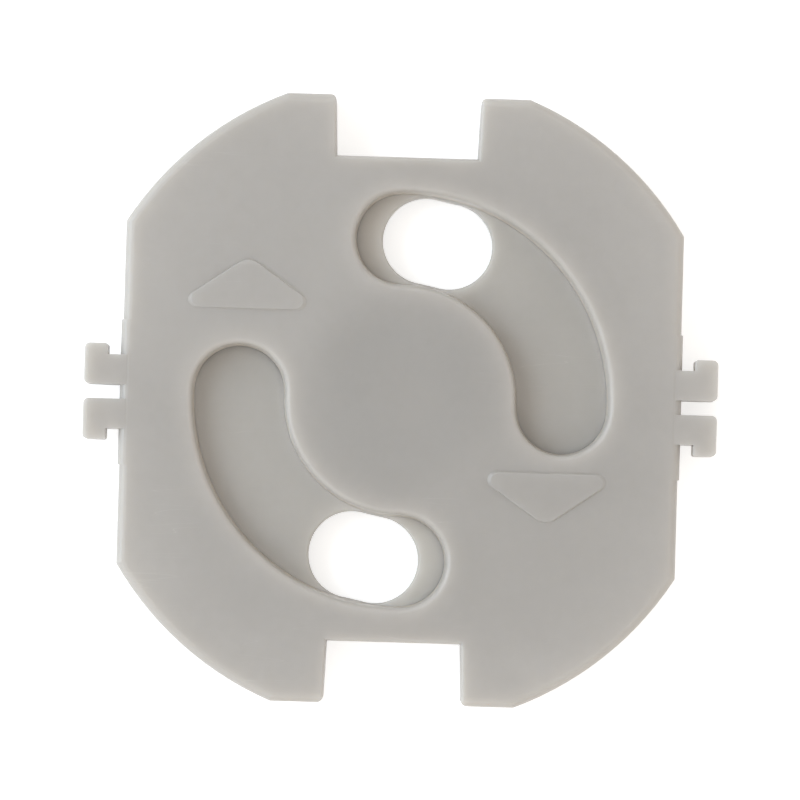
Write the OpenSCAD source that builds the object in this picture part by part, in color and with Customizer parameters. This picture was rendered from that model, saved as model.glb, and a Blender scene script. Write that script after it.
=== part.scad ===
// Twist-to-open safety cover for a round recessed socket outlet with two pins and two earth clips.
// Lengths are in millimetres. The back plane is z = 0 and the front faces +Z, with 12 o'clock at +Y.
// Clock angles are in degrees, clockwise from 12 o'clock as seen from the front.

/* [Socket] */
// Distance between the two plug pins
pin_pitch = 19; // [18.5:0.1:20]
// Clock angle of the socket's contacts, where the shutter stands open
open_a = 90; // [80:1:95]

/* [Front plate] */
// Diameter of the round rim
plate_d = 38.5; // [37:0.1:42]
// How far each side flat lies in from the round rim
flat_cut = 2.85; // [2:0.05:3.2]
// How far the top and bottom tab faces lie in from the round rim
tab_cut = 1.375; // [0.6:0.025:2]
// Thickness of the front wall
face_t = 1.4; // [1.2:0.05:2]
// Thickness of the outer skirt
skirt_t = 1.0; // [0.8:0.05:1.3]
// Thickness of the ribs behind the corners
rib_t = 0.8; // [0.6:0.05:1.2]
// Thickness of the ring wall between the shutter and the earth notches
collar_t = 1.0; // [0.7:0.05:1.3]
// Wall between the stop recess and the side flat
side_wall = 1.45; // [1.1:0.05:1.6]
// Rounding of the front outer edge
edge_r = 0.5; // [0.2:0.05:0.7]

/* [Earth notches] */
// Width of the upper notch at its floor
notch_w_up = 8.3; // [7:0.05:9]
// Width of the lower notch at its floor
notch_w_down = 7.85; // [7:0.05:9]
// Flare of each notch wall towards the mouth
notch_flare = 2; // [0:0.5:5]
// Rounding of the tabs' corners beside a notch, in plan
tab_corner_r = 0.4; // [0.1:0.05:0.8]
// Rounding of the notches' front edges
notch_edge_r = 0.2; // [0.1:0.05:0.4]

/* [Arc slots] */
// Width of a slot at the back of the front wall
slot_w = 5.3; // [5.1:0.05:5.6]
// Draft of the slot walls
slot_draft = 5.5; // [2:0.5:10]
// Rounding of the slots' front edges
slot_edge_r = 0.3; // [0.1:0.05:0.5]
// How far a slot starts before the shut position, in degrees
slot_lead = 13; // [8:0.5:16]
// How far a slot runs past the open position, in degrees
slot_run = 1.7; // [0:0.1:3]

/* [Shutter disc] */
// Clock angle of the first hole when the shutter is shut
closed_a = 11.7; // [8:0.1:16]
// Thickness of the disc
shutter_t = 1.1; // [0.9:0.05:1.5]
// How far the disc reaches past the slots
shutter_lap = 0.85; // [0.6:0.05:1.3]
// Radial gap between the disc and its cavity
rim_gap = 0.25; // [0.15:0.05:0.4]
// Gap between the disc and the front wall
face_gap = 0.05; // [0.04:0.01:0.2]
// Width of the pin holes, across the track
hole_w = 5.1; // [5.08:0.02:5.4]
// Length of the pin holes, along the track
hole_l = 6.5; // [6.3:0.05:6.8]
// Width of the lead-in around each pin hole
hole_bevel = 0.1; // [0.05:0.05:0.5]
// Depth of the lead-in around each pin hole
hole_bevel_h = 0.1; // [0.05:0.05:0.4]
// Chamfer of the disc's rim
rim_chamfer = 0.15; // [0.05:0.05:0.3]

/* [Turn stops] */
// Width of a stop lug, in degrees
lug_a = 20; // [12:1:28]
// Thickness of a stop lug
lug_t = 0.7; // [0.4:0.05:0.85]
// Play between a lug and its stop, in degrees
stop_play = 0.5; // [0.2:0.1:1.5]
// Radial gap between a lug and its recess
lug_gap = 0.25; // [0.15:0.05:0.5]

/* [Snap pivot] */
// Diameter of the pivot pin
pivot_d = 4; // [3.4:0.1:4.4]
// Radial gap between the pivot and the disc's bore
bore_gap = 0.06; // [0.03:0.01:0.1]
// How far the snap head reaches past the pin
barb = 0.45; // [0.3:0.05:0.6]
// Height of the snap head
head_h = 0.6; // [0.4:0.05:0.8]
// Axial play between the disc and the snap head
head_play = 0.05; // [0.03:0.01:0.15]
// Depth of the snap head below the back plane
head_sink = 0.15; // [0.05:0.05:0.4]
// Width of the cross slits that let the head spring in
slit_w = 0.7; // [0.5:0.05:0.9]
// Wall of the disc's hub around the bore
hub_t = 0.65; // [0.5:0.05:0.8]

/* [Return spring] */
// Diameter of the spring wire
wire_d = 0.36; // [0.3:0.02:0.4]
// Mean diameter of the coil
coil_d = 7.2; // [6.8:0.1:7.8]
// Number of turns in the coil
coil_turns = 2.25; // [1.75:0.25:2.5]
// Gap between two turns
turn_gap = 0.02; // [0.01:0.01:0.04]
// Length of each straight leg
leg_l = 3.9; // [3.2:0.1:4.2]
// Room around the spring in its chamber
coil_room = 0.5; // [0.3:0.05:0.6]
// Gap above and below the spring
coil_play = 0.04; // [0.03:0.01:0.08]
// Gap on each side of a leg in its channel
leg_gap = 0.08; // [0.04:0.01:0.15]
// Web of the disc behind the spring
disc_web = 0.6; // [0.5:0.05:0.8]

/* [Side clips] */
// How far each clip reaches past its side flat
clip_reach = 2.2; // [1.85:0.05:2.65]
// Width of the raised pad that carries a clip on the side flat
pad_w = 8.5; // [7:0.1:12]
// Height of the pad above the side flat
pad_t = 0.1; // [0.05:0.05:0.3]
// Gap between the two hooks of a clip
clip_gap = 0.85; // [0.5:0.05:1.4]
// Height of each hook's stem
stem_h = 1.75; // [1.2:0.05:2.2]
// How far each barb reaches past its stem
clip_barb = 0.65; // [0.3:0.05:1]
// Length of each barb, outward
barb_l = 1.35; // [0.8:0.05:1.6]
// Depth of the hooks behind the front face
clip_depth = 2.2; // [1.4:0.1:3]
// Rounding of the hooks' outer corners
clip_r = 0.3; // [0.1:0.05:0.4]

/* [Arrows] */
// Length of an arrow, over its rounded corners
arrow_w = 6.95; // [5:0.05:8]
// Height of an arrow, from its base to its rounded tip
arrow_h = 2.95; // [2:0.05:3.5]
// How far an arrow stands up from the face
arrow_t = 0.1; // [0.05:0.01:0.3]
// Rounding of an arrow's two base corners
arrow_r = 0.5; // [0.2:0.05:0.6]
// Rounding of an arrow's tip
arrow_tip_r = 1.0; // [0.3:0.05:1.2]
// Lean of an arrow's sides
arrow_draft = 40; // [0:5:50]
// Middle of the upper arrow's base
arrow_up = [-9.15, 5.05]; // [-12:0.05:12]
// Middle of the lower arrow's base
arrow_down = [8.7, -4.05]; // [-12:0.05:12]

/* [Hidden] */
$fn = 96;

moulded_white = [0.76, 0.75, 0.72];
shutter_white = [0.72, 0.71, 0.68];
spring_steel = [0.62, 0.63, 0.65];

// Levels along Z, from the back plane up
head_z = head_sink;
disc_z = head_z + head_h + head_play;
groove_z = disc_z + disc_web;
disc_top = disc_z + shutter_t;
wall_z = disc_top + face_gap;
depth = wall_z + face_t;
spring_h = coil_turns * (wire_d + turn_gap) + wire_d;
chamber_top = groove_z + spring_h + 2 * coil_play;
coil_low = groove_z + coil_play + wire_d / 2;
coil_high = chamber_top - coil_play - wire_d / 2;

// Widths, radii and half sizes
flat_w = plate_d - 2 * flat_cut;
tab_h = plate_d - 2 * tab_cut;
track_r = pin_pitch / 2;
disc_r = track_r + slot_w / 2 + shutter_lap;
cavity_r = disc_r + rim_gap;
notch_floor = cavity_r + collar_t;
recess_r = flat_w / 2 - side_wall;
lug_r = recess_r - lug_gap;
pivot_r = pivot_d / 2;
bore_r = pivot_r + bore_gap;
hub_r = bore_r + hub_t;
coil_r = coil_d / 2;
chamber_r = coil_r + wire_d / 2 + coil_room;
stem_l = clip_reach - barb_l;

// Turning
travel = open_a - closed_a;
slot_from = closed_a - slot_lead;
slot_to = open_a + slot_run;
stop_mid = 90;
stop_half = travel / 2 + lug_a / 2 + stop_play;
lug_mid = stop_mid - travel / 2;

// Spring legs: the coil runs clockwise from its front leg to its rear leg
front_leg_phi = 20;
rear_leg_phi = front_leg_phi - 360 * coil_turns;
wire_sides = 8;
turn_steps = 20;

// Small overlaps and overshoots that keep cuts and joins clean
over = 1;
bond = 0.3;
far = plate_d;
hair = 0.01;
edge_steps = 5;

function unit(v) = v / norm(v);

// Points of the arc that rounds the corner p between its neighbours a and b
function corner_arc(a, p, b, r, n = edge_steps) =
    let (u = unit(a - p), v = unit(b - p), half = acos(u * v) / 2)
    let (c = p + unit(u + v) * r / sin(half), reach = r / tan(half))
    let (s = p + u * reach - c, e = p + v * reach - c)
    let (from = atan2(s[1], s[0]), turn = (atan2(e[1], e[0]) - from + 540) % 360 - 180)
    [for (k = [0 : n]) c + r * [cos(from + turn * k / n), sin(from + turn * k / n)]];

// A closed outline with each corner rounded by its own radius, sharp where that is 0
function rounded(points, radii, n = edge_steps) =
    let (last = len(points) - 1)
    [for (i = [0 : last])
        each radii[i] == 0 ? [points[i]]
            : corner_arc(points[i == 0 ? last : i - 1], points[i], points[i == last ? 0 : i + 1],
                radii[i], n)];

// Half profile of an opening that leans out by draft and rolls over the front edge
function lip_profile(half_w, from_z, draft, r) =
    let (foot = [half_w - over * tan(draft), from_z - over])
    let (top = [half_w + (depth - from_z) * tan(draft), depth])
    let (roll = corner_arc(foot, top, top + [far, 0], r))
    concat([[0, from_z - over], foot], roll,
        [[roll[edge_steps][0], depth + over], [0, depth + over]]);

// A half profile together with its mirror image
function both_sides(half) =
    concat(half, [for (i = [len(half) - 1 : -1 : 0]) if (half[i][0] > 0) [-half[i][0], half[i][1]]]);

// Ring sector between two radii, two clock angles and two levels
module ring_sector(r_in, r_out, from_a, to_a, from_z, to_z)
    rotate([0, 0, 90 - to_a])
        rotate_extrude(angle = to_a - from_a)
            polygon([[r_in, from_z], [r_out, from_z], [r_out, to_z], [r_in, to_z]]);

// Ring between two radii
module ring(r_in, r_out, z, h)
    translate([0, 0, z]) difference() {
        cylinder(r = r_out, h = h);
        translate([0, 0, -over]) cylinder(r = r_in, h = h + 2 * over);
    }

// What repeats on both sides of the turning axis
module twice() {
    children();
    rotate([0, 0, 180]) children();
}

// Slab along Y with rounded front edges
module plate_slab(w, length)
    rotate([90, 0, 0])
        linear_extrude(height = length, center = true)
            polygon(rounded([[-w / 2, 0], [w / 2, 0], [w / 2, depth], [-w / 2, depth]],
                [0, 0, edge_r, edge_r]));

// Plate blank: a round rim cut by two side flats, each with a low pad for its clip, and by two tab
// faces, all with a rounded front edge
module plate_blank()
    intersection() {
        rotate_extrude()
            polygon(rounded([[0, 0], [plate_d / 2, 0], [plate_d / 2, depth], [0, depth]],
                [0, 0, edge_r, 0]));
        union() {
            plate_slab(flat_w, 2 * far);
            plate_slab(flat_w + 2 * pad_t, pad_w);
        }
        rotate([0, 0, 90]) plate_slab(tab_h, 2 * far);
    }

// All that lies to the left of a wall at x = 0, whose front edge rolls over
module left_of_wall()
    rotate([90, 0, 0])
        linear_extrude(height = 2 * far, center = true)
            translate([-far, 0]) polygon(lip_profile(far, 0, 0, notch_edge_r));

// Notch at 12 o'clock, with flared walls, a square floor and rounded tab corners at its mouth. The
// rounding starts and ends a hair outside the tab, so that it crosses both of its faces
module earth_notch(w) {
    foot = [w / 2 - hair, notch_floor];
    corner = [foot[0] + (tab_h / 2 - notch_floor) * tan(notch_flare), tab_h / 2 + hair];
    trim = corner_arc(foot, corner, corner + [over, 0], tab_corner_r);
    intersection() {
        intersection_for (side = [0, 1])
            mirror([side, 0, 0])
                translate([w / 2, notch_floor, 0])
                    rotate([0, 0, -notch_flare]) left_of_wall();
        translate([0, notch_floor, 0]) rotate([0, 0, -90]) left_of_wall();
    }
    for (side = [0, 1])
        mirror([side, 0, 0])
            translate([0, 0, -over])
                linear_extrude(height = depth + 2 * over)
                    polygon(concat([trim[0] - [over, 0]], trim, [trim[edge_steps] + [0, over],
                        [trim[0][0] - over, corner[1] + over]]));
}

// Arc slot that a plug pin follows from the shut to the open position. Its round ends are a hair
// smaller than the track, so that their walls cross its end planes and never touch along a tangent
module arc_slot() {
    rotate([0, 0, 90 - slot_to])
        rotate_extrude(angle = slot_to - slot_from)
            translate([track_r, 0])
                polygon(both_sides(lip_profile(slot_w / 2, wall_z, slot_draft, slot_edge_r)));
    for (a = [slot_from, slot_to])
        rotate([0, 0, 90 - a])
            translate([track_r, 0, 0])
                rotate_extrude()
                    polygon(lip_profile(slot_w / 2 - hair, wall_z, slot_draft, slot_edge_r));
}

// Cored pockets behind the four corners, with a rib across each pair
module corner_pockets()
    translate([0, 0, -over])
        linear_extrude(height = wall_z + over)
            difference() {
                intersection() {
                    circle(r = plate_d / 2 - skirt_t);
                    square([flat_w - 2 * skirt_t, tab_h - 2 * skirt_t], center = true);
                }
                circle(r = recess_r + rib_t);
                square([max(notch_w_up, notch_w_down) + 2 * skirt_t, 2 * far], center = true);
                for (a = [35, 50, -35, -50])
                    rotate(a) square([rib_t, 2 * far], center = true);
            }

// Hook outline in plan, with its foot in the plate and its barb turned away from the gap
module hook_outline() {
    root = flat_w / 2;
    neck = root + stem_l;
    tip = root + clip_reach;
    low = clip_gap / 2;
    high = low + stem_h;
    polygon(rounded(
        [[root - bond, low], [tip, low], [tip, high + clip_barb], [neck, high + clip_barb],
            [neck, high], [root - bond, high]],
        [0, clip_r, clip_r, clip_r / 2, 0, 0]));
}

module side_clip()
    for (side = [0, 1])
        mirror([0, side, 0])
            translate([0, 0, depth - clip_depth])
                linear_extrude(height = clip_depth) hook_outline();

// Raised arrow that points up from the middle of its base. Its outline grows and shrinks about the
// middle of its inscribed circle, so that all its sides lean alike
module arrow() {
    flank = [arrow_w / 2 - arrow_r, arrow_h - arrow_tip_r - arrow_r];
    lean = atan2(flank[1], flank[0]) + asin((arrow_tip_r - arrow_r) / norm(flank));
    half = flank[0] + arrow_r / tan(lean / 2);
    inner_r = half * tan(lean / 2);
    foot = 1 + bond * tan(arrow_draft) / inner_r;
    top = 1 - arrow_t * tan(arrow_draft) / inner_r;
    outline = rounded([[-half, -inner_r], [half, -inner_r], [0, half * tan(lean) - inner_r]],
        [arrow_r, arrow_r, arrow_tip_r], 2 * edge_steps);
    translate([0, inner_r, depth - bond])
        linear_extrude(height = arrow_t + bond, scale = top / foot)
            polygon(foot * outline);
}

// Turned cavity behind the front wall: the shutter's bed, the spring chamber and, left standing in
// the middle, the pivot pin with its barbed head
module bed_and_pivot() {
    neck_z = head_z + head_h;
    nose_z = head_z + head_h / 2;
    rotate_extrude()
        polygon([[0, -over], [cavity_r, -over], [cavity_r, wall_z], [chamber_r, wall_z],
            [chamber_r, chamber_top], [pivot_r, chamber_top], [pivot_r, neck_z],
            [pivot_r + barb, neck_z], [pivot_r + barb, nose_z], [pivot_r - barb / 2, head_z],
            [0, head_z]]);
}

// Cross slits that split the pivot into four springy posts
module pivot_slits()
    for (a = [0, 90])
        rotate([0, 0, a])
            translate([-hub_r, -slit_w / 2, -over])
                cube([2 * hub_r, slit_w, disc_top + over]);

// Channel for a straight spring leg that leaves the coil at angle phi
module leg_channel(phi, side, z, h) {
    w = wire_d + 2 * leg_gap;
    rotate([0, 0, phi])
        translate([coil_r - w / 2, side > 0 ? 0 : -(leg_l + leg_gap), z])
            cube([w, leg_l + leg_gap, h]);
}

module cover_plate()
    color(moulded_white) {
        difference() {
            plate_blank();
            earth_notch(notch_w_up);
            rotate([0, 0, 180]) earth_notch(notch_w_down);
            twice() arc_slot();
            bed_and_pivot();
            pivot_slits();
            twice()
                ring_sector(cavity_r - bond, recess_r, stop_mid - stop_half, stop_mid + stop_half,
                    -over, wall_z);
            leg_channel(front_leg_phi, 1, wall_z - over, chamber_top + coil_play - wall_z + over);
            corner_pockets();
        }
        twice() side_clip();
        translate(arrow_up) arrow();
        translate(arrow_down) rotate([0, 0, 180]) arrow();
    }

// Oval tool along X, with cone ends: r_low at its foot and r_high at its top. Its flanks are a hair
// narrower than its ends, so that they cross and never touch along a tangent
module oval(r_low, r_high, span, z, h) {
    low = r_low - hair;
    high = r_high - hair;
    for (end = [-1, 1])
        translate([end * span / 2, 0, z]) cylinder(r1 = r_low, r2 = r_high, h = h);
    rotate([90, 0, 90])
        linear_extrude(height = span, center = true)
            polygon([[-low, z], [low, z], [high, z + h], [-high, z + h]]);
}

// Pin hole at the top of the track, with a lead-in on its front edge
module pin_hole() {
    span = hole_l - hole_w;
    slope = hole_bevel / hole_bevel_h;
    rotate([0, 0, -closed_a])
        translate([0, track_r, 0]) {
            oval(hole_w / 2, hole_w / 2, span, disc_z - over, shutter_t + 2 * over);
            oval(hole_w / 2 - slope * bond, hole_w / 2 + hole_bevel + slope * bond, span,
                disc_top - hole_bevel_h - bond, hole_bevel_h + 2 * bond);
        }
}

module shutter_disc()
    color(shutter_white)
        difference() {
            union() {
                translate([0, 0, disc_z])
                    rotate_extrude()
                        polygon([[0, 0], [disc_r - rim_chamfer, 0], [disc_r, rim_chamfer],
                            [disc_r, shutter_t - rim_chamfer], [disc_r - rim_chamfer, shutter_t],
                            [0, shutter_t]]);
                twice()
                    ring_sector(disc_r - over, lug_r, lug_mid - lug_a / 2, lug_mid + lug_a / 2,
                        disc_z + (shutter_t - lug_t) / 2, disc_z + (shutter_t + lug_t) / 2);
            }
            twice() pin_hole();
            translate([0, 0, disc_z - over]) cylinder(r = bore_r, h = shutter_t + 2 * over);
            ring(hub_r, chamber_r, groove_z, shutter_t);
            leg_channel(rear_leg_phi, -1, groove_z, shutter_t);
        }

// Spring path: angle and height of each coil station, and the two straight legs
function coil_point(phi, z) = [coil_r * cos(phi), coil_r * sin(phi), z];
function along(phi) = [-sin(phi), cos(phi), 0];
coil_steps = ceil(coil_turns * turn_steps);
spring_path = concat(
    [coil_point(front_leg_phi, coil_high) + (leg_l - leg_gap) * along(front_leg_phi)],
    [for (i = [0 : coil_steps])
        coil_point(front_leg_phi - 360 * coil_turns * i / coil_steps,
            coil_high - (coil_high - coil_low) * i / coil_steps)],
    [coil_point(rear_leg_phi, coil_low) - (leg_l - leg_gap) * along(rear_leg_phi)]);
function path_phi(i) =
    front_leg_phi - 360 * coil_turns * max(0, min(coil_steps, i - 1)) / coil_steps;

// Torsion spring, swept along its path
module return_spring() {
    rings = len(spring_path);
    skin = [for (i = [0 : rings - 1]) for (k = [0 : wire_sides - 1])
        let (phi = path_phi(i), a = 360 * (k + 0.5) / wire_sides)
        spring_path[i] + wire_d / 2 * (cos(a) * [cos(phi), sin(phi), 0] + sin(a) * [0, 0, 1])];
    sides = [for (i = [0 : rings - 2]) for (k = [0 : wire_sides - 1])
        let (n = (k + 1) % wire_sides, here = i * wire_sides, next = here + wire_sides)
        [next + k, next + n, here + n, here + k]];
    caps = [[for (k = [0 : wire_sides - 1]) k],
        [for (k = [wire_sides - 1 : -1 : 0]) (rings - 1) * wire_sides + k]];
    color(spring_steel) polyhedron(points = skin, faces = concat(sides, caps));
}

cover_plate();
shutter_disc();
return_spring();
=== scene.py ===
"""Outlet safety cover: materials, return spring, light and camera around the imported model."""
import math

import bpy
from mathutils import Matrix, Vector


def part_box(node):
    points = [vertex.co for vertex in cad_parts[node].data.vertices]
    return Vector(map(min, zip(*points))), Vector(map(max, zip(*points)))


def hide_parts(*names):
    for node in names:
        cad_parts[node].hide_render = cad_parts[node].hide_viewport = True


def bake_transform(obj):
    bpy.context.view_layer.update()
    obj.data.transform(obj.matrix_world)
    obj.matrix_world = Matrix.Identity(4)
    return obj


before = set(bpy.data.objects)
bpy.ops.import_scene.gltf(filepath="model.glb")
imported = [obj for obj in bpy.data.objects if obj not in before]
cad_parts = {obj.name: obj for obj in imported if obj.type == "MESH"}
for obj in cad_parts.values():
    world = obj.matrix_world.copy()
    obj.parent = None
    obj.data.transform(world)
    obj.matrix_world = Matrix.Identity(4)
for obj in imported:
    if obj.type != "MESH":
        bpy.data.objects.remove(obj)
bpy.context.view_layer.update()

MM = 0.001

# Camera: above the front, a hair towards 6 o'clock, far enough for a flat perspective
CAMERA_DISTANCE = 0.300
CAMERA_TILT = math.radians(1.8)
CAMERA_ROLL = math.radians(1.67)
SENSOR = 36.0
LENS = 228.9
AIM = Vector((0.0, 0.0, 1.7 * MM))
AIM_SHIFT = Vector((-0.023 * MM, 0.02 * MM, 0.0))

# Slots, as the part's source has them: clockwise from 12 o'clock and again half a turn on, with
# walls that end a little in front of the shutter
FACE_GAP = 0.05 * MM
TRACK_R = 9.5 * MM
TRACK_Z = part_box("shutter_disc")[1].z + FACE_GAP
SLOT_HALF = 2.65 * MM
SLOT_FROM = math.radians(-1.3)
SLOT_TO = math.radians(91.7)

# Colours of the two mouldings, whose clouds run from pale to deep, and of their scratches
COVER_PALE = (0.444, 0.426, 0.407, 1)
COVER_DEEP = (0.409, 0.392, 0.374, 1)
SHUTTER_PALE = (0.448, 0.430, 0.405, 1)
SHUTTER_DEEP = (0.415, 0.398, 0.374, 1)
SCRATCH_COLOUR = (0.62, 0.61, 0.58, 1)
SCRATCH_SHARE = 0.25

# Share of the mouldings' colour at the hub and on the webs round it, and what the rim adds: painted
# shade at the hub, painted light on the webs and a painted glow at the rim
HUB_PAINTED_SHADE = 0.94
HUB_R = 3.8 * MM
WEB_PAINTED_LIGHT = 1.05
WEB_R = 7.8 * MM
RIM_PAINTED_LIGHT = 0.11
RIM_FROM = 13 * MM
RIM_TO = 20 * MM

# What the slots add to the cover as painted light: warm painted light at the foot of their walls,
# where shade falls, and a painted glow along their lips
WALL_FOOT_PAINTED_LIGHT = (0.62, 0.52, 0.36)
WALL_WITHIN = 1.2 * SLOT_HALF
FOOT_FULL = TRACK_Z + 0.1 * MM
FOOT_ENDS = TRACK_Z + 1.2 * MM
LIP_PAINTED_GLOW = 0.05
LIP_STARTS = 1.03 * SLOT_HALF
LIP_FULL = 1.13 * SLOT_HALF
LIP_FADES = 1.1 * SLOT_HALF
LIP_ENDS = 1.6 * SLOT_HALF

# What they add to the shutter as painted light: beside the walls, where shade falls, and a painted
# glow round a place near each slot's shut end
SIDE_PAINTED_LIGHT = 0.40
SIDE_STARTS = 0.4 * SLOT_HALF
SIDE_POWER = 7.0
END_PAINTED_GLOW = 0.19
GLOW_AT = math.radians(4.5)
GLOW_FULL = 3.0 * MM
GLOW_ENDS = 5.2 * MM

# Surface of the mouldings: cells per metre of each noise, the values between which it fades in,
# the hair scratches, the roughness, and how deep light enters
CLOUD_SCALE = 90
CLOUD_EDGES = (0.3, 0.7)
GRAIN_SCALE = 1500
GRAIN_SHARE = 0.2
WAVE_SCALE = 180
PATCH_SCALE = 160
PATCH_EDGES = (0.6, 0.7)
HAIR_SCALE = 60
HAIR_WIDTH = 0.004
HAIR_TURNS_AND_STRETCHES = ((0.5, 22), (1.9, 30))
SATIN_ROUGHNESS = 0.30
CLOUD_ROUGHNESS = 0.16
SCRATCH_ROUGHNESS = 0.15
LIGHT_DEPTH = 2.2 * MM

# Return spring, as the part's source has it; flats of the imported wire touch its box
WIRE_R = 0.18 * MM
PACKED_WIRE_SIDES = 8
PACKED_FLAT = WIRE_R * math.cos(math.pi / PACKED_WIRE_SIDES)
COIL_R = 3.6 * MM
COIL_TURNS = 2.25
COIL_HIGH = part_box("return_spring")[1].z - PACKED_FLAT
COIL_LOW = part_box("return_spring")[0].z + PACKED_FLAT
LEG = 3.82 * MM
FRONT_LEG_AT = math.radians(20)
COIL_STEPS = 150
LEG_STEPS = 6

# Steel of the spring, with level streaks that run along the wire
STEEL_DEEP = (0.36, 0.36, 0.37, 1)
STEEL_PALE = (0.62, 0.62, 0.63, 1)
STREAK_SCALE = (400, 400, 9000)
STEEL_ROUGHNESS = 0.2
STREAK_ROUGHNESS = 0.2

# Light: strength of the world on the object, and of the floor's own white to the camera
AMBIENT = 0.68
AMBIENT_COLOUR = (1.0, 0.945, 0.88, 1)
FLOOR_COLOUR = (0.8, 0.8, 0.8, 1)
FLOOR_WHITE = 0.6
FLOOR_SIDE = 3.0
FLOOR_DROP = 0.02 * MM


# Node helpers

def node_maker(tree):
    """A function that adds a node to the tree; each input is a value or the socket that feeds it."""
    def node(kind, inputs=None, **settings):
        made = tree.nodes.new("ShaderNode" + kind)
        for key, value in settings.items():
            setattr(made, key, value)
        for key, value in (inputs or {}).items():
            if isinstance(value, bpy.types.NodeSocket):
                tree.links.new(value, made.inputs[key])
            else:
                made.inputs[key].default_value = value
        return made

    return node


def new_material(name):
    """A node material with its tree, its Principled shader and the function that adds nodes."""
    material = bpy.data.materials.new(name)
    material.use_nodes = True
    tree = material.node_tree
    return material, tree, tree.nodes["Principled BSDF"], node_maker(tree)


def math_node(node, operation, *values):
    return node("Math", dict(enumerate(values)), operation=operation).outputs[0]


def vector_node(node, operation, a, b):
    return node("VectorMath", {0: a, 1: b}, operation=operation).outputs["Vector"]


def blend_rgb(node, factor, a, b):
    return node("Mix", {0: factor, 6: a, 7: b}, data_type="RGBA").outputs[2]


def ramp(node, value, low, high, to_low=0.0, to_high=1.0):
    """A smooth change from one value to another."""
    return node("MapRange", {"Value": value, "From Min": low, "From Max": high,
                             "To Min": to_low, "To Max": to_high},
                interpolation_type="SMOOTHSTEP").outputs["Result"]


def noise(node, where, scale, detail=2.0, roughness=0.5, distortion=0.0, seed=0.0):
    return node("TexNoise", {"Vector": where, "W": seed, "Scale": scale, "Detail": detail,
                             "Roughness": roughness, "Distortion": distortion},
                noise_dimensions="4D").outputs["Fac"]


# Painted light by the slots

def from_slot(node, where, out):
    """Distance from the middle line of the nearer arc slot."""
    xyz = node("SeparateXYZ", {"Vector": where}).outputs
    clock = math_node(node, "ARCTAN2", xyz["X"], xyz["Y"])
    middle = (SLOT_FROM + SLOT_TO) / 2
    reach = (SLOT_TO - SLOT_FROM) / 2
    half_turn = math_node(node, "WRAP", math_node(node, "SUBTRACT", clock, middle),
                          math.pi / 2, -math.pi / 2)
    past = math_node(node, "SUBTRACT", math_node(node, "ABSOLUTE", half_turn), reach)
    bend = math_node(node, "COSINE", math_node(node, "MAXIMUM", past, 0.0))
    square = math_node(node, "MULTIPLY_ADD", out, out, TRACK_R * TRACK_R)
    product = math_node(node, "MULTIPLY", math_node(node, "MULTIPLY", out, 2 * TRACK_R), bend)
    return math_node(node, "SQRT", math_node(node, "SUBTRACT", square, product))


def cover_painted_light(node, where, out):
    """Painted light: paler and warmer towards the foot of the slot walls, against the shade there,
    and a little paler along the lips as a painted glow.
    """
    off = from_slot(node, where, out)
    level = node("SeparateXYZ", {"Vector": where}).outputs["Z"]
    inside = math_node(node, "LESS_THAN", off, WALL_WITHIN)
    foot_light_mask = math_node(node, "MULTIPLY", inside, ramp(node, level, FOOT_ENDS, FOOT_FULL))
    # Painted glow along the lips
    painted_lip_glow = math_node(node, "MULTIPLY", ramp(node, off, LIP_STARTS, LIP_FULL),
                    ramp(node, off, LIP_ENDS, LIP_FADES, 0.0, LIP_PAINTED_GLOW))
    # Warm painted light at the foot of the walls, where shade falls
    painted_warm_light = node("VectorMath", {0: WALL_FOOT_PAINTED_LIGHT, "Scale": foot_light_mask}, operation="SCALE").outputs["Vector"]
    return vector_node(node, "ADD", painted_warm_light, painted_lip_glow)


def shutter_painted_light(node, where, out):
    """Painted light: paler along both sides of the track, against the shade by the walls, and a
    painted glow near the slots' shut ends.
    """
    off = math_node(node, "ABSOLUTE", math_node(node, "SUBTRACT", out, TRACK_R))
    beside = node("MapRange", {"Value": off, "From Min": SIDE_STARTS, "From Max": SLOT_HALF})
    # Painted light beside the walls, against the shade there
    side = math_node(node, "POWER", beside.outputs["Result"], SIDE_POWER)
    centre = Vector((math.sin(GLOW_AT), math.cos(GLOW_AT), 0)) * TRACK_R
    flat = vector_node(node, "MULTIPLY", where, (1, 1, 0))
    near = [node("VectorMath", {0: flat, 1: centre * sign}, operation="DISTANCE").outputs["Value"]
            for sign in (1, -1)]
    # Painted glow near each slot's shut end
    glow = ramp(node, math_node(node, "MINIMUM", *near), GLOW_ENDS, GLOW_FULL, 0.0, END_PAINTED_GLOW)
    return math_node(node, "MULTIPLY_ADD", side, SIDE_PAINTED_LIGHT, glow)


# Materials

def hair_marks(node, where, seed):
    """Hair scratches: stretched noise, thin and rare."""
    marks = 0.0
    for k, (turn, stretch) in enumerate(HAIR_TURNS_AND_STRETCHES):
        turned = node("Mapping", {"Vector": where, "Rotation": (0, 0, turn),
                                  "Scale": (HAIR_SCALE, HAIR_SCALE * stretch, HAIR_SCALE)})
        hair = noise(node, turned.outputs["Vector"], 1.0, detail=1, seed=seed + 7 + k)
        thin = math_node(node, "ABSOLUTE", math_node(node, "SUBTRACT", hair, 0.5))
        patch = noise(node, where, PATCH_SCALE, detail=1, seed=seed + 11 + k)
        mark = math_node(node, "MULTIPLY", ramp(node, thin, HAIR_WIDTH, 0.0),
                         ramp(node, patch, *PATCH_EDGES))
        marks = math_node(node, "MAXIMUM", marks, mark)
    return marks


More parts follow.
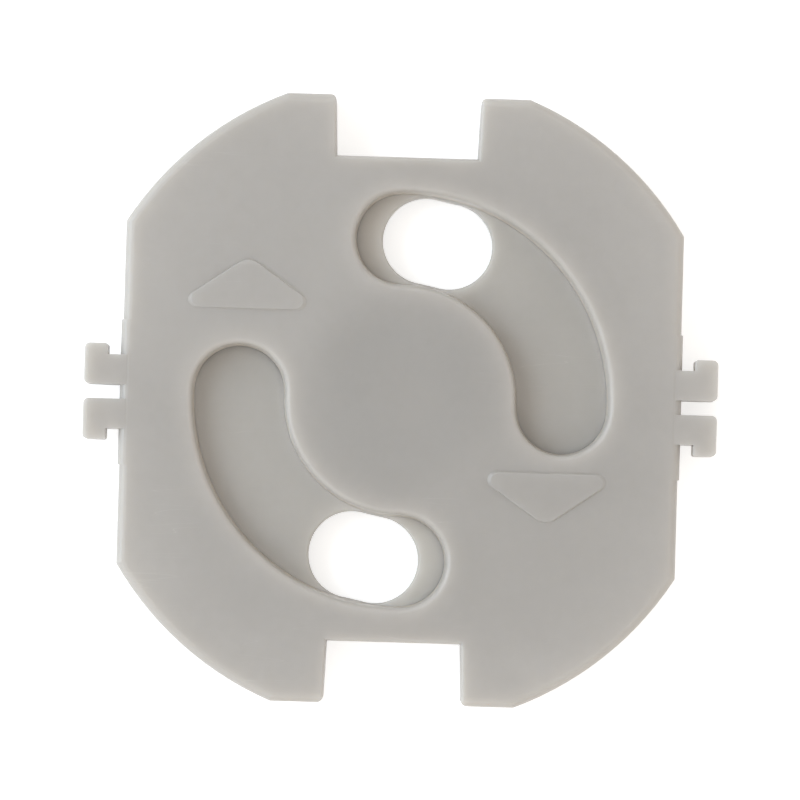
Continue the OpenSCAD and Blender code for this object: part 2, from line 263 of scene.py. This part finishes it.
def moulded_plastic(name, pale, deep, seed, added_painted_light):
    """Satin off-white moulding: cloudy flow tones, a fine grain and hair scratches, with painted
    shade at the hub and painted light towards the rim and by the slots.
    """
    material, tree, shader, node = new_material(name)
    where = node("TexCoord").outputs["Object"]
    cloud = noise(node, where, CLOUD_SCALE, detail=3, roughness=0.55, distortion=0.4, seed=seed)
    grain = noise(node, where, GRAIN_SCALE, seed=seed + 3)
    wave = noise(node, where, WAVE_SCALE, seed=seed + 5)
    marks = hair_marks(node, where, seed)

    # Colour: a little deeper at the hub and paler towards the thin rim, as painted shade and a
    # painted glow
    tone = math_node(node, "ADD", math_node(node, "MULTIPLY", cloud, 1 - GRAIN_SHARE),
                     math_node(node, "MULTIPLY", grain, GRAIN_SHARE))
    colour = blend_rgb(node, ramp(node, tone, *CLOUD_EDGES), deep, pale)
    flat = vector_node(node, "MULTIPLY", where, (1, 1, 0))
    out = node("VectorMath", {0: flat}, operation="LENGTH").outputs["Value"]
    # Painted shade at the hub, painted light on the webs and at the rim
    share = math_node(node, "ADD", ramp(node, out, HUB_R, WEB_R, HUB_PAINTED_SHADE, WEB_PAINTED_LIGHT),
                      ramp(node, out, RIM_FROM, RIM_TO, 0.0, RIM_PAINTED_LIGHT))
    # Painted light from the slots
    share = vector_node(node, "ADD", share, added_painted_light(node, where, out))
    colour = vector_node(node, "MULTIPLY", colour, share)
    scratched = math_node(node, "MULTIPLY", marks, SCRATCH_SHARE)
    colour = blend_rgb(node, scratched, colour, SCRATCH_COLOUR)
    tree.links.new(colour, shader.inputs["Base Color"])

    # Gloss and bump
    rough = math_node(node, "MULTIPLY_ADD", cloud, CLOUD_ROUGHNESS, SATIN_ROUGHNESS)
    rough = math_node(node, "MULTIPLY_ADD", marks, SCRATCH_ROUGHNESS, rough)
    tree.links.new(rough, shader.inputs["Roughness"])
    height = math_node(node, "SUBTRACT", math_node(node, "MULTIPLY", grain, 0.3), marks)
    fine = node("Bump", {"Strength": 0.35, "Distance": 0.004 * MM, "Height": height})
    coarse = node("Bump", {"Strength": 0.5, "Distance": 0.02 * MM, "Height": wave,
                           "Normal": fine.outputs["Normal"]})
    tree.links.new(coarse.outputs["Normal"], shader.inputs["Normal"])

    # Light that enters the plastic
    shader.inputs["IOR"].default_value = 1.5
    shader.inputs["Subsurface Weight"].default_value = 1.0
    shader.inputs["Subsurface Radius"].default_value = (1.0, 0.95, 0.85)
    shader.inputs["Subsurface Scale"].default_value = LIGHT_DEPTH
    return material


def spring_wire(name):
    """Drawn steel wire with fine lengthwise streaks."""
    material, tree, shader, node = new_material(name)
    where = node("TexCoord").outputs["Object"]
    stretched = node("Mapping", {"Vector": where, "Scale": STREAK_SCALE}).outputs["Vector"]
    streak = noise(node, stretched, 1.0, detail=3, roughness=0.6, seed=2)
    tone = node("ValToRGB", {"Fac": streak})
    tone.color_ramp.elements[0].color = STEEL_DEEP
    tone.color_ramp.elements[1].color = STEEL_PALE
    tree.links.new(tone.outputs["Color"], shader.inputs["Base Color"])
    shader.inputs["Metallic"].default_value = 1.0
    rough = math_node(node, "MULTIPLY_ADD", streak, STREAK_ROUGHNESS, STEEL_ROUGHNESS)
    tree.links.new(rough, shader.inputs["Roughness"])
    bump = node("Bump", {"Strength": 0.3, "Distance": 0.002 * MM, "Height": streak})
    tree.links.new(bump.outputs["Normal"], shader.inputs["Normal"])
    return material


cover = moulded_plastic("cover_plastic", COVER_PALE, COVER_DEEP, 1.0, cover_painted_light)
shutter = moulded_plastic("shutter_plastic", SHUTTER_PALE, SHUTTER_DEEP, 20.0, shutter_painted_light)
steel = spring_wire("spring_steel")

for name, material in (("cover_plate", cover), ("shutter_disc", shutter)):
    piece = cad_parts[name]
    piece.data.materials.clear()
    piece.data.materials.append(material)


# Return spring

def coil_point(phi, z):
    return Vector((COIL_R * math.cos(phi), COIL_R * math.sin(phi), z))


def along(phi):
    return Vector((-math.sin(phi), math.cos(phi), 0))


def spring_path():
    """The two straight legs and the coil between them."""
    turn = 2 * math.pi * COIL_TURNS
    start = coil_point(FRONT_LEG_AT, COIL_HIGH)
    rear = FRONT_LEG_AT - turn
    end = coil_point(rear, COIL_LOW)
    points = [start + along(FRONT_LEG_AT) * LEG * (1 - i / LEG_STEPS) for i in range(LEG_STEPS)]
    for i in range(COIL_STEPS + 1):
        share = i / COIL_STEPS
        points.append(coil_point(FRONT_LEG_AT - turn * share,
                                 COIL_HIGH + (COIL_LOW - COIL_HIGH) * share))
    points += [end - along(rear) * LEG * (i + 1) / LEG_STEPS for i in range(LEG_STEPS)]
    return points


def stations(points, cap_steps):
    """Place, direction, size of the section and end (-1, 0 or 1) of each ring of a tube."""
    made = [(points[0], points[1] - points[0], k / cap_steps, -1) for k in range(cap_steps)]
    for i, point in enumerate(points):
        before = points[max(i - 1, 0)]
        after = points[min(i + 1, len(points) - 1)]
        made.append((point, after - before, 1.0, 0))
    made += [(points[-1], points[-1] - points[-2], k / cap_steps, 1)
             for k in range(cap_steps - 1, -1, -1)]
    return made


def tube(name, points, radius, sides=16, cap_steps=4, cap_reach=0.5, tip=0.02):
    """A wire swept along its points; its round ends reach on by a share of its radius."""
    vertices = []
    rings = stations(points, cap_steps)
    for point, direction, size, end in rings:
        tangent = direction.normalized()
        side = tangent.cross(Vector((0, 0, 1))).normalized()
        up = side.cross(tangent)
        section = radius * max(math.sqrt(1 - (1 - size) ** 2), tip)
        centre = point + tangent * (end * cap_reach * radius * (1 - size))
        for k in range(sides):
            a = 2 * math.pi * k / sides
            vertices.append(centre + section * (math.cos(a) * side + math.sin(a) * up))
    faces = []
    last = len(rings) - 1
    for i in range(last):
        for k in range(sides):
            n = (k + 1) % sides
            faces.append((i * sides + k, i * sides + n, (i + 1) * sides + n, (i + 1) * sides + k))
    faces.append(tuple(range(sides - 1, -1, -1)))
    faces.append(tuple(last * sides + k for k in range(sides)))
    mesh = bpy.data.meshes.new(name)
    mesh.from_pydata([tuple(v) for v in vertices], [], faces)
    mesh.validate()
    for polygon in mesh.polygons:
        polygon.use_smooth = True
    made = bpy.data.objects.new(name, mesh)
    bpy.context.scene.collection.objects.link(made)
    return made


wire = tube("return_spring_wire", spring_path(), WIRE_R)
wire.data.materials.append(steel)
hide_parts("return_spring")
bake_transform(wire)


# Floor, world and lamps

def is_seen(node):
    """1 for camera, mirror and see-through rays."""
    path = node("LightPath")
    seen = math_node(node, "MAXIMUM", path.outputs["Is Camera Ray"], path.outputs["Is Glossy Ray"])
    return math_node(node, "MAXIMUM", seen, path.outputs["Is Transmission Ray"])


def pale_floor():
    """A plane just below the part that looks white and keeps a soft shadow."""
    bpy.ops.mesh.primitive_plane_add(size=FLOOR_SIDE, location=(0, 0, -FLOOR_DROP))
    made = bpy.context.object
    made.name = "floor"
    material, tree, shader, node = new_material("pale_floor")
    shader.inputs["Base Color"].default_value = FLOOR_COLOUR
    shader.inputs["Roughness"].default_value = 0.9
    glow = node("Emission", {"Color": (1, 1, 1, 1), "Strength": FLOOR_WHITE})
    dark = node("Emission", {"Strength": 0.0})
    shown = node("MixShader", {0: is_seen(node), 1: dark.outputs[0], 2: glow.outputs[0]})
    total = node("AddShader", {0: shader.outputs[0], 1: shown.outputs[0]})
    tree.links.new(total.outputs[0], tree.nodes["Material Output"].inputs["Surface"])
    made.data.materials.append(material)
    return made


def studio_world():
    """Warm even light on the object, and white where the world itself is seen."""
    world = bpy.data.worlds.new("studio")
    world.use_nodes = True
    tree = world.node_tree
    node = node_maker(tree)
    ambient = tree.nodes["Background"]
    ambient.inputs["Color"].default_value = AMBIENT_COLOUR
    ambient.inputs["Strength"].default_value = AMBIENT
    white = node("Background", {"Color": (1, 1, 1, 1), "Strength": 1.0})
    mixed = node("MixShader", {0: is_seen(node), 1: ambient.outputs[0], 2: white.outputs[0]})
    tree.links.new(mixed.outputs[0], tree.nodes["World Output"].inputs["Surface"])
    return world


def area_lamp(name, place, side, power, colour):
    """A square soft box that faces the object."""
    data = bpy.data.lights.new(name, "AREA")
    data.shape = "SQUARE"
    data.size = side
    data.energy = power
    data.color = colour
    lamp = bpy.data.objects.new(name, data)
    lamp.location = place
    lamp.rotation_euler = (AIM - Vector(place)).to_track_quat("-Z", "Y").to_euler()
    bpy.context.scene.collection.objects.link(lamp)


floor = pale_floor()
bpy.context.scene.world = studio_world()
area_lamp("key_left", place=(-0.345, 0.09, 0.285), side=0.34, power=1.26, colour=(0.78, 0.92, 1.04))
area_lamp("fill_right", place=(0.26, 0.02, 0.18), side=0.20, power=0.05, colour=(1.0, 0.96, 0.90))
area_lamp("fill_low", place=(-0.02, -0.30, 0.20), side=0.24, power=0.17, colour=(1.0, 0.97, 0.93))


# Camera

camera_data = bpy.data.cameras.new("camera")
camera_data.sensor_width = SENSOR
camera_data.lens = LENS
camera_data.clip_start = 0.01
camera_data.clip_end = 10.0
camera = bpy.data.objects.new("camera", camera_data)
bpy.context.scene.collection.objects.link(camera)
turned = Matrix.Rotation(CAMERA_TILT, 4, "X") @ Matrix.Rotation(CAMERA_ROLL, 4, "Z")
place = AIM + AIM_SHIFT + turned.to_3x3() @ Vector((0, 0, CAMERA_DISTANCE))
camera.matrix_world = Matrix.Translation(place) @ turned
bpy.context.scene.camera = camera

bpy.context.scene.view_settings.view_transform = "Standard"
